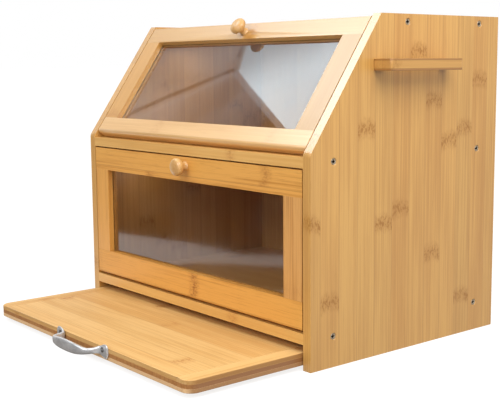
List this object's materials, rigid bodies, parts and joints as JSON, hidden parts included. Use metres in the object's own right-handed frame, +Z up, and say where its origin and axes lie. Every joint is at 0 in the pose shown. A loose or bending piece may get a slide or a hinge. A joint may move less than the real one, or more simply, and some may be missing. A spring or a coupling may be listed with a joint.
{
  "type": "bread bin",
  "caption": "Bamboo bread bin: two compartments behind drop-down doors with clear windows, the upper one sloping, a slide-out cutting board in its base and a side handle.",
  "frame": {"origin": "on the standing surface, at the centre of the cabinet's rear face", "axes": "+X to the right seen from the front, +Y to the rear, +Z up"},
  "size_m": [0.402, 0.407, 0.3247],
  "materials": {
    "bamboo_side": "satin lacquer",
    "bamboo_board": "satin lacquer",
    "bamboo_door": "satin lacquer",
    "bamboo_cutting": "oiled",
    "bamboo_core": "oiled end grain",
    "bamboo_ply": "satin lacquer",
    "turned_wood": "gloss lacquer",
    "dowel_wood": "raw",
    "clear_acrylic": "clear, glossy",
    "zinc_plated_steel": "zinc plated",
    "pewter": "brushed pewter",
    "brown_plastic": "moulded",
    "magnet": "nickel plated"
  },
  "bodies": {
    "cabinet": {"left_side_panel": "bamboo_side", "right_side_panel": "bamboo_side", "top_panel": "bamboo_board", "middle_shelf": "bamboo_board", "lower_shelf": "bamboo_board", "back_panel": "bamboo_board", "left_runner": "bamboo_board", "right_runner": "bamboo_board", "left_panel_screws": "zinc_plated_steel", "right_panel_screws": "zinc_plated_steel", "back_panel_screws": "zinc_plated_steel", "side_handle": "bamboo_ply", "side_handle_screws": "zinc_plated_steel", "upper_pivot_pins": "zinc_plated_steel", "lower_pivot_pins": "zinc_plated_steel", "upper_catch_housing": "brown_plastic", "upper_catch_magnet": "magnet", "upper_catch_screws": "zinc_plated_steel", "lower_catch_housing": "brown_plastic", "lower_catch_magnet": "magnet", "lower_catch_screws": "zinc_plated_steel"},
    "upper_door": {"upper_door_top_rail": "bamboo_door", "upper_door_bottom_rail": "bamboo_door", "upper_door_left_stile": "bamboo_door", "upper_door_right_stile": "bamboo_door", "upper_door_dowels": "dowel_wood", "upper_door_pane": "clear_acrylic", "upper_door_beads": "bamboo_door", "upper_door_knob": "turned_wood", "upper_knob_screw": "zinc_plated_steel", "upper_strike_plate": "zinc_plated_steel", "upper_strike_screws": "zinc_plated_steel"},
    "lower_door": {"lower_door_top_rail": "bamboo_door", "lower_door_bottom_rail": "bamboo_door", "lower_door_left_stile": "bamboo_door", "lower_door_right_stile": "bamboo_door", "lower_door_dowels": "dowel_wood", "lower_door_pane": "clear_acrylic", "lower_door_beads": "bamboo_door", "lower_door_knob": "turned_wood", "lower_knob_screw": "zinc_plated_steel", "lower_strike_plate": "zinc_plated_steel", "lower_strike_screws": "zinc_plated_steel"},
    "cutting_board": {"board_top_ply": "bamboo_cutting", "board_end_strips": "bamboo_cutting", "board_core_ply": "bamboo_core", "board_bottom_ply": "bamboo_cutting", "board_pull": "pewter", "board_pull_screws": "pewter"}
  },
  "joints": [
    {"name": "upper_door_hinge", "type": "hinge", "parent": "cabinet", "child": "upper_door", "pos_m": [0, -0.24843, 0.20475], "axis": [1, 0, 0], "range_deg": [0, 145]},
    {"name": "lower_door_hinge", "type": "hinge", "parent": "cabinet", "child": "lower_door", "pos_m": [0, -0.255, 0.045], "axis": [1, 0, 0], "range_deg": [0, 90]},
    {"name": "board_slide", "type": "slide", "parent": "cabinet", "child": "cutting_board", "axis": [0, -1, 0], "range_m": [-0.127, 0.1]}
  ]
}
